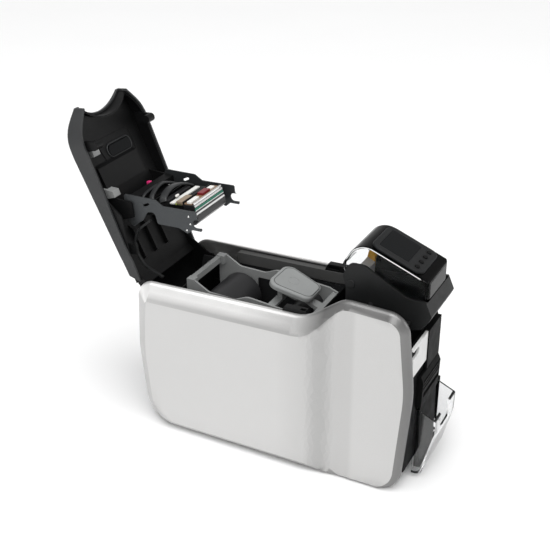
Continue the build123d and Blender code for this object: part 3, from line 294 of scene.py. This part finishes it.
# connectors: tan, white and dark from the front; print head: silver and green lines on its end face
TAN, WHITE, SOOT = (0.25, 0.19, 0.13), (0.74, 0.74, 0.71), (0.012, 0.012, 0.013)
DARK, BRIGHT, GREEN = (0.020, 0.020, 0.021), (0.74, 0.74, 0.73), (0.007, 0.14, 0.085)
connector_bands = banded("banded_plastic", [(-60, TAN), (-34, WHITE), (-25, SOOT)], 0)
head_face = banded("head_face", [(-65, DARK), (-62.42, BRIGHT), (-61.73, DARK), (-61.05, BRIGHT),
                                 (-60.8, GREEN), (-59.95, DARK)], -58, 0.3, 0.25, floor=264.0)

looks = {
    silver: ["left_side_panel", "right_side_panel"],
    cover_gray: ["cover_shell"],
    black: ["cover_liner", "cover_latches", "card_guide", "rear_panel", "head_chassis", "base_tray",
            "latch_receptacles"],
    deep_black: ["ribbon_bay", "front_fascia", "feed_mouth", "card_ramp"],
    dark_steel: ["left_chassis_plate", "right_chassis_plate"],
    soft_black: ["feeder_housing", "hood_pins", "cable_guard"],
    key_black: ["panel_button_1", "panel_button_2", "panel_button_3", "panel_button_4"],
    sill_gray: ["left_sill", "right_sill"],
    panel_gray: ["control_panel"],
    display_glass: ["display_window", "cover_window"],
    hood_clear: ["hood"],
    hopper_clear: ["output_hopper"],
    chute_gray: ["chute_cover"],
    ribbon_gray: ["ribbon_frame", "ribbon_guides"],
    handle_gray: ["ribbon_handle"],
    film_dark: ["ribbon_film", "supply_spool", "takeup_spool"],
    white_plastic: ["feeder_gate"],
    connector_bands: ["head_connectors"],
    board_tan: ["head_board"],
    amber: ["gate_lever"],
    steel: ["hinge_pins", "drive_motor"],
    plate_steel: ["left_head_plate", "right_head_plate"],
    head_face: ["print_head"],
    rubber: ["rubber_feet", "drive_belt"],
    roller_rubber: ["platen_roller", "entry_roller", "exit_roller", "pick_roller"],
    gear_plastic: ["platen_gear", "motor_pinion"],
    brass: ["bearing_bushes"],
    board_green: ["main_board"],
}
EDGE = 0.35             # rounding of a CAD node's edges; these nodes have their own
edges = {"left_side_panel": 0.0, "right_side_panel": 0.0, "display_window": 0.1, "ribbon_film": 0.0,
         "drive_belt": 0.0, "platen_gear": 0.1, "motor_pinion": 0.1}


def soften(piece, width, segments, angle):
    """Round the edges that are sharper than an angle in degrees."""
    edge = piece.modifiers.new("edges", "BEVEL")
    edge.width = width * MM
    edge.segments = segments
    edge.limit_method = "ANGLE"
    edge.angle_limit = math.radians(angle)


def smooth(piece):
    for polygon in piece.data.polygons:
        polygon.use_smooth = True
    shading = piece.modifiers.new("normals", "WEIGHTED_NORMAL")
    shading.keep_sharp = True
    return shading


def dress(name, material):
    """Give a CAD node its material and slightly rounded edges."""
    piece = nodes[name]
    piece.data.materials.clear()
    piece.data.materials.append(material)
    weld = piece.modifiers.new("weld", "WELD")
    weld.merge_threshold = 0.01 * MM
    width = edges.get(name, EDGE)
    if width:
        soften(piece, width, 2, 35)
    shading = smooth(piece)
    if name.endswith("side_panel"):
        shading.weight = 100
        shading.thresh = 0.001


for material, names in looks.items():
    for name in names:
        dress(name, material)


# ------------------------------------------------------------------ makers of small parts
def piece_of(name, verts, faces, material, body, edge=0.0):
    """A small part from its points and faces, with rounded edges, on a body."""
    mesh = bpy.data.meshes.new(name)
    mesh.from_pydata([tuple(v) for v in verts], [], faces)
    mesh.validate()
    form = bmesh.new()
    form.from_mesh(mesh)
    bmesh.ops.recalc_face_normals(form, faces=form.faces)
    form.to_mesh(mesh)
    form.free()
    mesh.materials.append(material)
    piece = bpy.data.objects.new(name, mesh)
    show(piece)
    if edge:
        soften(piece, edge, 3, 30)
    smooth(piece)
    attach(piece, body)
    return piece


def prism(name, profile, xs, place, material, body, edge=0.3):
    """A bar along x with a profile of (y, z) points."""
    count = len(profile)
    verts = [place(x, y, z) for x in xs for y, z in profile]
    faces = [tuple(range(count)), tuple(range(2 * count - 1, count - 1, -1))]
    faces += [(i, (i + 1) % count, count + (i + 1) % count, count + i) for i in range(count)]
    return piece_of(name, verts, faces, material, body, edge)


def block(name, xs, ys, zs, place, material, body, edge=0.3):
    (y0, y1), (z0, z1) = ys, zs
    return prism(name, [(y0, z0), (y1, z0), (y1, z1), (y0, z1)], xs, place, material, body, edge)


def ring_faces(first, second, sides):
    """Faces from one ring of points to another, given the number of each ring's first point."""
    around = [(k, (k + 1) % sides) for k in range(sides)]
    return [(first + k, first + j, second + j, second + k) for k, j in around]


# rings of a screw head as shares of its radius, from its rim to the floor of its recess
SCREW_RINGS = [(1.0, 0.0), (1.0, 0.35), (0.82, 0.62), (0.42, 0.78), (0.36, 0.45), (0.0, 0.4)]
SCREW_SIDES = 20


def screws(name, spots, outward, radius, place, material, body):
    """Domed screw heads with a driver recess, each at a spot and facing outward."""
    verts, faces = [], []
    for spot in spots:
        centre = place(*spot)
        normal = (place(*(a + b for a, b in zip(spot, outward))) - centre).normalized()
        across = normal.orthogonal().normalized()
        other = normal.cross(across)
        start = len(verts)
        for reach, height in SCREW_RINGS:
            for k in range(SCREW_SIDES):
                turn = 2 * math.pi * k / SCREW_SIDES
                arm = across * math.cos(turn) + other * math.sin(turn)
                verts.append(centre + (arm * reach + normal * height) * radius * MM)
        for ring in range(len(SCREW_RINGS) - 1):
            first = start + ring * SCREW_SIDES
            faces += ring_faces(first, first + SCREW_SIDES, SCREW_SIDES)
        faces.append(tuple(start + k for k in range(SCREW_SIDES - 1, -1, -1)))
    return piece_of(name, verts, faces, material, body)


STRAP_STEPS, STRAP_SIDES = 8, 16
SQUARENESS = 0.6        # 1 is an ellipse, less is nearer to a box


def through(points):
    """A smooth curve through points, as a list of closer ones."""
    path, last = [], len(points) - 1
    for i in range(last):
        near = [points[max(0, min(last, k))] for k in (i - 1, i, i + 1, i + 2)]
        for step in range(STRAP_STEPS):
            t = step / STRAP_STEPS
            path.append(tuple(0.5 * (2 * b + (c - a) * t + (2 * a - 5 * b + 4 * c - d) * t * t
                                     + (3 * b - a - 3 * c + d) * t ** 3) for a, b, c, d in zip(*near)))
    return path + [points[-1]]


def strap(name, points, width, thick, place, material, body):
    """A flat moulded strap that arches through points; its width lies along z."""
    path = [place(*point) for point in through(points)]
    wide = (place(0, 0, 1) - place(0, 0, 0)).normalized()
    last = len(path) - 1
    verts, faces = [], []
    for i, spot in enumerate(path):
        ahead = (path[min(i + 1, last)] - path[max(i - 1, 0)]).normalized()
        flat = (wide - ahead * wide.dot(ahead)).normalized()
        rise = ahead.cross(flat)
        for k in range(STRAP_SIDES):
            turn = 2 * math.pi * k / STRAP_SIDES
            c, s = math.cos(turn), math.sin(turn)
            reach = math.copysign(abs(c) ** SQUARENESS, c) * width / 2
            lift = math.copysign(abs(s) ** SQUARENESS, s) * thick / 2
            verts.append(spot + (flat * reach + rise * lift) * MM)
    for i in range(last):
        faces += ring_faces(i * STRAP_SIDES, (i + 1) * STRAP_SIDES, STRAP_SIDES)
    faces.append(tuple(range(STRAP_SIDES - 1, -1, -1)))
    faces.append(tuple(last * STRAP_SIDES + k for k in range(STRAP_SIDES)))
    return piece_of(name, verts, faces, material, body)


def rectangle(xs, ys):
    (x0, x1), (y0, y1) = xs, ys
    return [(x1, y1), (x1, y0), (x0, y0), (x0, y1)]


ARC_STEPS = 8


def rounded_loop(corners, radius, place):
    """Places round a closed outline of (x, y) corners whose corners are arcs."""
    loop = []
    for i, corner in enumerate(corners):
        here = Vector(corner)
        back_to = (Vector(corners[i - 1]) - here).normalized()
        on_to = (Vector(corners[(i + 1) % len(corners)]) - here).normalized()
        half = math.acos(max(-1, min(1, back_to.dot(on_to)))) / 2
        middle = here + (back_to + on_to).normalized() * radius / math.sin(half)
        first = here + back_to * radius / math.tan(half) - middle
        last = here + on_to * radius / math.tan(half) - middle
        turn = math.atan2(first.x * last.y - first.y * last.x, first.dot(last))
        for k in range(ARC_STEPS + 1):
            c, s = math.cos(turn * k / ARC_STEPS), math.sin(turn * k / ARC_STEPS)
            loop.append(place(middle + Vector((first.x * c - first.y * s, first.x * s + first.y * c))))
    return loop


# a bead's cross-section, as shares of half its width and of its height
BEAD_SECTION = [(-1.0, -0.4), (-0.85, 0.55), (-0.4, 0.95), (0.4, 0.95), (0.85, 0.55), (1.0, -0.4)]


def bead(name, loop, outward, width, height, material, body):
    """A low rounded bead along a closed loop of places."""
    count, sides = len(loop), len(BEAD_SECTION)
    verts, faces = [], []
    for i, spot in enumerate(loop):
        ahead = (loop[(i + 1) % count] - loop[i - 1]).normalized()
        across = ahead.cross(outward).normalized()
        verts += [spot + across * a * width * MM / 2 + outward * h * height * MM for a, h in BEAD_SECTION]
        faces += ring_faces(i * sides, (i + 1) % count * sides, sides)
    return piece_of(name, verts, faces, material, body)


# ------------------------------------------------------------------ printhead
# places are those of the closed cover; what has the lower y there lies higher when the cover is open
END_TOP, END_LOW = Vector((-137.0, 114.0)), Vector((-124.0, 111.2))
END_RUN = (END_LOW - END_TOP).normalized()
END_OUT = Vector((END_RUN.y, -END_RUN.x))
BAR_START, BAR_STOP, BAR_PROUD = 0.1, 2.4, 0.3
bar_corners = [(BAR_START, -BAR_PROUD), (BAR_STOP, -BAR_PROUD), (BAR_STOP, BAR_PROUD), (BAR_START, BAR_PROUD)]
prism("head_end_bar_upper", [END_TOP + END_RUN * along + END_OUT * proud for along, proud in bar_corners],
      (-30.6, 30.6), lifted, bright_metal, "head", 0.1)

HEAD_WIDTH = (-30.5, 30.5)
RAIL_FOOT, PLUG_FOOT = -136.2, -138.2       # sunk a little into the head and into its board
head_blocks = [
    ("head_board_rail", HEAD_WIDTH, (RAIL_FOOT, -140.2), (128.0, 129.2), black, 0.3),
    ("head_board_edge", HEAD_WIDTH, (RAIL_FOOT, -139.6), (114.3, 116.2), bright_metal, 0.3),
    ("head_white_plug", (-30.0, -12.0), (PLUG_FOOT, -141.0), (118.2, 123.8), white_plastic, 0.5),
    ("head_red_plug", (-3.0, 13.0), (PLUG_FOOT, -141.4), (119.0, 126.5), red_plastic, 0.5),
    ("head_tan_plug", (16.5, 25.0), (PLUG_FOOT, -140.2), (120.0, 126.0), white_plastic, 0.4),
    ("head_label", (-30.0, -24.5), (-135.8, -137.2), (131.5, 139.5), lime, 0.2),
    ("head_oval_plug", (-18.5, -12.5), (-139.4, -142.4), (144.0, 147.0), white_plastic, 1.2),
    ("head_magenta_plug", (9.0, 14.5), (-139.0, -144.2), (199.2, 204.4), magenta, 1.0),
]
for name, xs, ys, zs, material, edge in head_blocks:
    block(name, xs, ys, zs, lifted, material, "head", edge)

SCREW_FACE = -135.9
chassis_spots = [(18.5, 160.5), (-23.0, 184.5), (25.5, 184.5)]
screws("head_chassis_screws", [(x, SCREW_FACE, z) for x, z in chassis_spots], (0, -1, 0), 1.7,
       lifted, bright_metal, "head")

STRAP_FOOT = -136.5
head_straps = [
    ("head_strap_front", 9, 3.2, [(-29, STRAP_FOOT, 156), (-24, -141, 158.5), (-10, -144.5, 161),
                                  (6, -144.5, 161.5), (20, -141.5, 159), (28.5, STRAP_FOOT, 153)]),
    ("head_strap_middle", 6, 3.0, [(-29, STRAP_FOOT, 172), (-22, -141.5, 175), (-6, -145.5, 178),
                                   (8, -145.5, 178.5), (18, -142, 172), (24, STRAP_FOOT, 168)]),
    ("head_strap_rear", 4, 2.4, [(-29, STRAP_FOOT, 186), (-20, -141, 186.5), (0, -143.2, 186.0),
                                 (18, -141, 186), (28, STRAP_FOOT, 184)]),
]
for name, width, thick, points in head_straps:
    strap(name, points, width, thick, lifted, flex_black, "head")

# ------------------------------------------------------------------ ribbon handle
# fine lines on its sloping top
PAD_REAR, PAD_FRONT = (-146.5, 202.0), (-199.0, 186.5)
PAD_SLOPE = (PAD_REAR[1] - PAD_FRONT[1]) / (PAD_REAR[0] - PAD_FRONT[0])


def on_pad(spot):
    return at(spot.x, spot.y, PAD_REAR[1] + PAD_SLOPE * (spot.y - PAD_REAR[0]))


pad_up = (at(0, -PAD_SLOPE, 1) - at(0, 0, 0)).normalized()
pad_outline = [(22.6, -150.6), (14.8, -195.2), (-14.8, -195.2), (-22.6, -150.6)]
bead("handle_line", rounded_loop(pad_outline, 8.5, on_pad), pad_up, 0.7, 0.28, flex_black, "cassette")
bead("handle_dish", rounded_loop(rectangle((-6.5, 6.5), (-174.0, -162.0)), 5.5, on_pad),
     pad_up, 0.6, 0.22, handle_gray, "cassette")

# ------------------------------------------------------------------ hood
# pale strips along the edges of its crown as painted highlights, and rims round the display and the buttons
CROWN_MID, CROWN_TILT = (-298.0, 262.35), math.radians(21.61)
ARCH, ARCH_RADIUS = (-266.79, 251.05), 20.83
ARCH_FOOT = (-244.65, 254.4)
ARCH_TURNS = (42, 54, 66, 78, 90, 102, 111)
CROWN_FRONT = [(-300.0, 260.5), (-327.5, 249.5)]
CROWN_SIDE = 31.25


def on_crown(spot):
    """A place on the control panel, from x and the way up its slope."""
    up_y, up_z = spot.y * math.cos(CROWN_TILT), spot.y * math.sin(CROWN_TILT)
    return at(spot.x, CROWN_MID[0] + up_y, CROWN_MID[1] + up_z)


def on_arch(turn):
    """A point (y, z) on the rounded rear of the hood, from its angle in degrees."""
    angle = math.radians(turn)
    return ARCH[0] + ARCH_RADIUS * math.cos(angle), ARCH[1] + ARCH_RADIUS * math.sin(angle)


crown_line = [ARCH_FOOT] + [on_arch(turn) for turn in ARCH_TURNS] + CROWN_FRONT
for side, name in ((-CROWN_SIDE, "near"), (CROWN_SIDE, "far")):
    strap("hood_painted_highlight_" + name, [(side, y, z) for y, z in crown_line], 0.9, 0.6, at, painted_edge_highlight, "hood")

crown_up = (at(0, -math.sin(CROWN_TILT), math.cos(CROWN_TILT)) - at(0, 0, 0)).normalized()
bead("display_rim", rounded_loop(rectangle((-20.6, 20.6), (-12.1, 25.1)), 3.0, on_crown),
     crown_up, 1.0, 0.35, key_black, "hood")
BUTTONS, BUTTON_PITCH, BUTTON_ROW, RIM_HALF = 4, 12.0, -21.5, 3.9
for number in range(BUTTONS):
    middle = (number - (BUTTONS - 1) / 2) * BUTTON_PITCH
    square = rectangle((middle - RIM_HALF, middle + RIM_HALF), (BUTTON_ROW - RIM_HALF, BUTTON_ROW + RIM_HALF))
    bead("button_rim_%d" % (number + 1), rounded_loop(square, 3.6, on_crown), crown_up, 1.0, 0.4,
         key_black, "hood")

# ------------------------------------------------------------------ cover
# rims round the window in its ceiling
CEILING_AT_REAR, CEILING_SLOPE = 172.656, -0.35093


def on_ceiling(spot):
    """A place on the inside of the cover, from x and y on the closed cover."""
    return lifted(spot.x, spot.y, CEILING_AT_REAR + CEILING_SLOPE * spot.y)


ceiling_in = (lifted(0, CEILING_SLOPE, -1) - lifted(0, 0, 0)).normalized()
bead("cover_window_rim", rounded_loop(rectangle((-10.5, 34.5), (-192.5, -177.5)), 7.2, on_ceiling),
     ceiling_in, 1.8, 1.6, flex_black, "cover")
bead("cover_window_shade", rounded_loop([(40, -170), (40, -201), (-24, -201), (-16, -170)], 9, on_ceiling),
     ceiling_in, 1.4, 1.0, black, "cover")

# ------------------------------------------------------------------ screws in the head's side plates
PLATE_FACE = 43.4
plate_spots = [(-128.9, 114.8), (-120.1, 113.6), (-112.3, 119.4)]
for side, name in ((-1, "near"), (1, "far")):
    spots = [(side * PLATE_FACE, y, z) for y, z in plate_spots]
    screws("head_plate_screws_" + name, spots, (side, 0, 0), 1.2, lifted, bright_metal, "head")

# ------------------------------------------------------------------ camera
AZIMUTH = math.radians(-63.2)
ELEVATION = math.radians(28.5)
PICTURE = 550.0                 # width of the picture in pixels
FOCAL = 1015.0                  # focal length, in the picture's pixels
CENTRE = (285.0, 292.0)         # where the camera's axis meets the picture
# the printer's rear edge on the table as the camera has it: right, down and ahead
OFFSET = Vector((-139.813, 122.933, 1310.078))

back = Vector((math.sin(AZIMUTH) * math.cos(ELEVATION), -math.cos(AZIMUTH) * math.cos(ELEVATION),
               math.sin(ELEVATION)))
right = (-back).cross(Vector((0, 0, 1))).normalized()
up = right.cross(-back)
eye = -(right * OFFSET.x - up * OFFSET.y - back * OFFSET.z)

camera_data = bpy.data.cameras.new("camera")
camera = bpy.data.objects.new("camera", camera_data)
show(camera)
camera.matrix_world = Matrix.Translation(at(*eye)) @ Matrix((right, up, back)).transposed().to_4x4()
camera_data.sensor_fit = "HORIZONTAL"
camera_data.sensor_width = 36.0
camera_data.lens = FOCAL / PICTURE * camera_data.sensor_width
camera_data.shift_x = -(CENTRE[0] - PICTURE / 2) / PICTURE
camera_data.shift_y = (CENTRE[1] - PICTURE / 2) / PICTURE
camera_data.clip_end = 20.0
bpy.context.scene.camera = camera

# ------------------------------------------------------------------ floor
FLOOR_HALF, FLOOR_DROP = 6.0, 0.0002    # metres; the floor lies just under the feet
floor_mesh = bpy.data.meshes.new("floor")
form = bmesh.new()
bmesh.ops.create_grid(form, x_segments=8, y_segments=8, size=FLOOR_HALF)
form.to_mesh(floor_mesh)
form.free()
floor = bpy.data.objects.new("floor", floor_mesh)
floor.location.z = -FLOOR_DROP
show(floor)
floor_white, tree, shader = new_material("floor_white")
feed(tree, shader, {
    "Base Color": between(tree, noise(tree, 3.0), *spread((0.93, 0.93, 0.93), 0.005)),
    "Roughness": 0.9, "Specular IOR Level": 0.1})
floor_mesh.materials.append(floor_white)


# ------------------------------------------------------------------ lamps
def lamp(name, place, target, size, power):
    data = bpy.data.lights.new(name, "AREA")
    data.shape = "RECTANGLE"
    data.size, data.size_y = size
    data.energy = power
    light = bpy.data.objects.new(name, data)
    light.location = place
    light.rotation_euler = (Vector(target) - Vector(place)).to_track_quat("-Z", "Y").to_euler()
    show(light)


lamp("overhead", (-0.3, 0.5, 1.9), (0, 0, 0.1), (1.6, 1.6), 10)
lamp("key", (-1.9, -0.6, 1.5), (0, 0, 0.12), (0.9, 1.2), 12)
lamp("fill", (0.7, -1.9, 0.9), (0, 0, 0.15), (1.0, 1.0), 5)

sun_data = bpy.data.lights.new("sun", "SUN")
sun_data.energy = 1.9
sun_data.angle = math.radians(50)
sun = bpy.data.objects.new("sun", sun_data)
sun.rotation_euler = (math.radians(12), math.radians(-14), 0)
show(sun)

# ------------------------------------------------------------------ world
# white to the camera and through clear plastic; for the light on the object, brighter low than overhead
world = bpy.data.worlds.new("world")
bpy.context.scene.world = world
world.use_nodes = True
air = world.node_tree
rays = add(air, "LightPath", {}).outputs
seen = sum_of(air, "MAXIMUM", rays["Is Camera Ray"], rays["Is Transmission Ray"])
glow = scaled(air, coordinate(air, "Generated")["Z"], 0.1, 0.9, 0.75, 0.22)
feed(air, air.nodes["Background"], {
    "Strength": mixed(air, seen, glow, 1.0, data_type="FLOAT"), "Color": (1, 1, 1, 1)})

bpy.context.scene.view_settings.view_transform = "Standard"
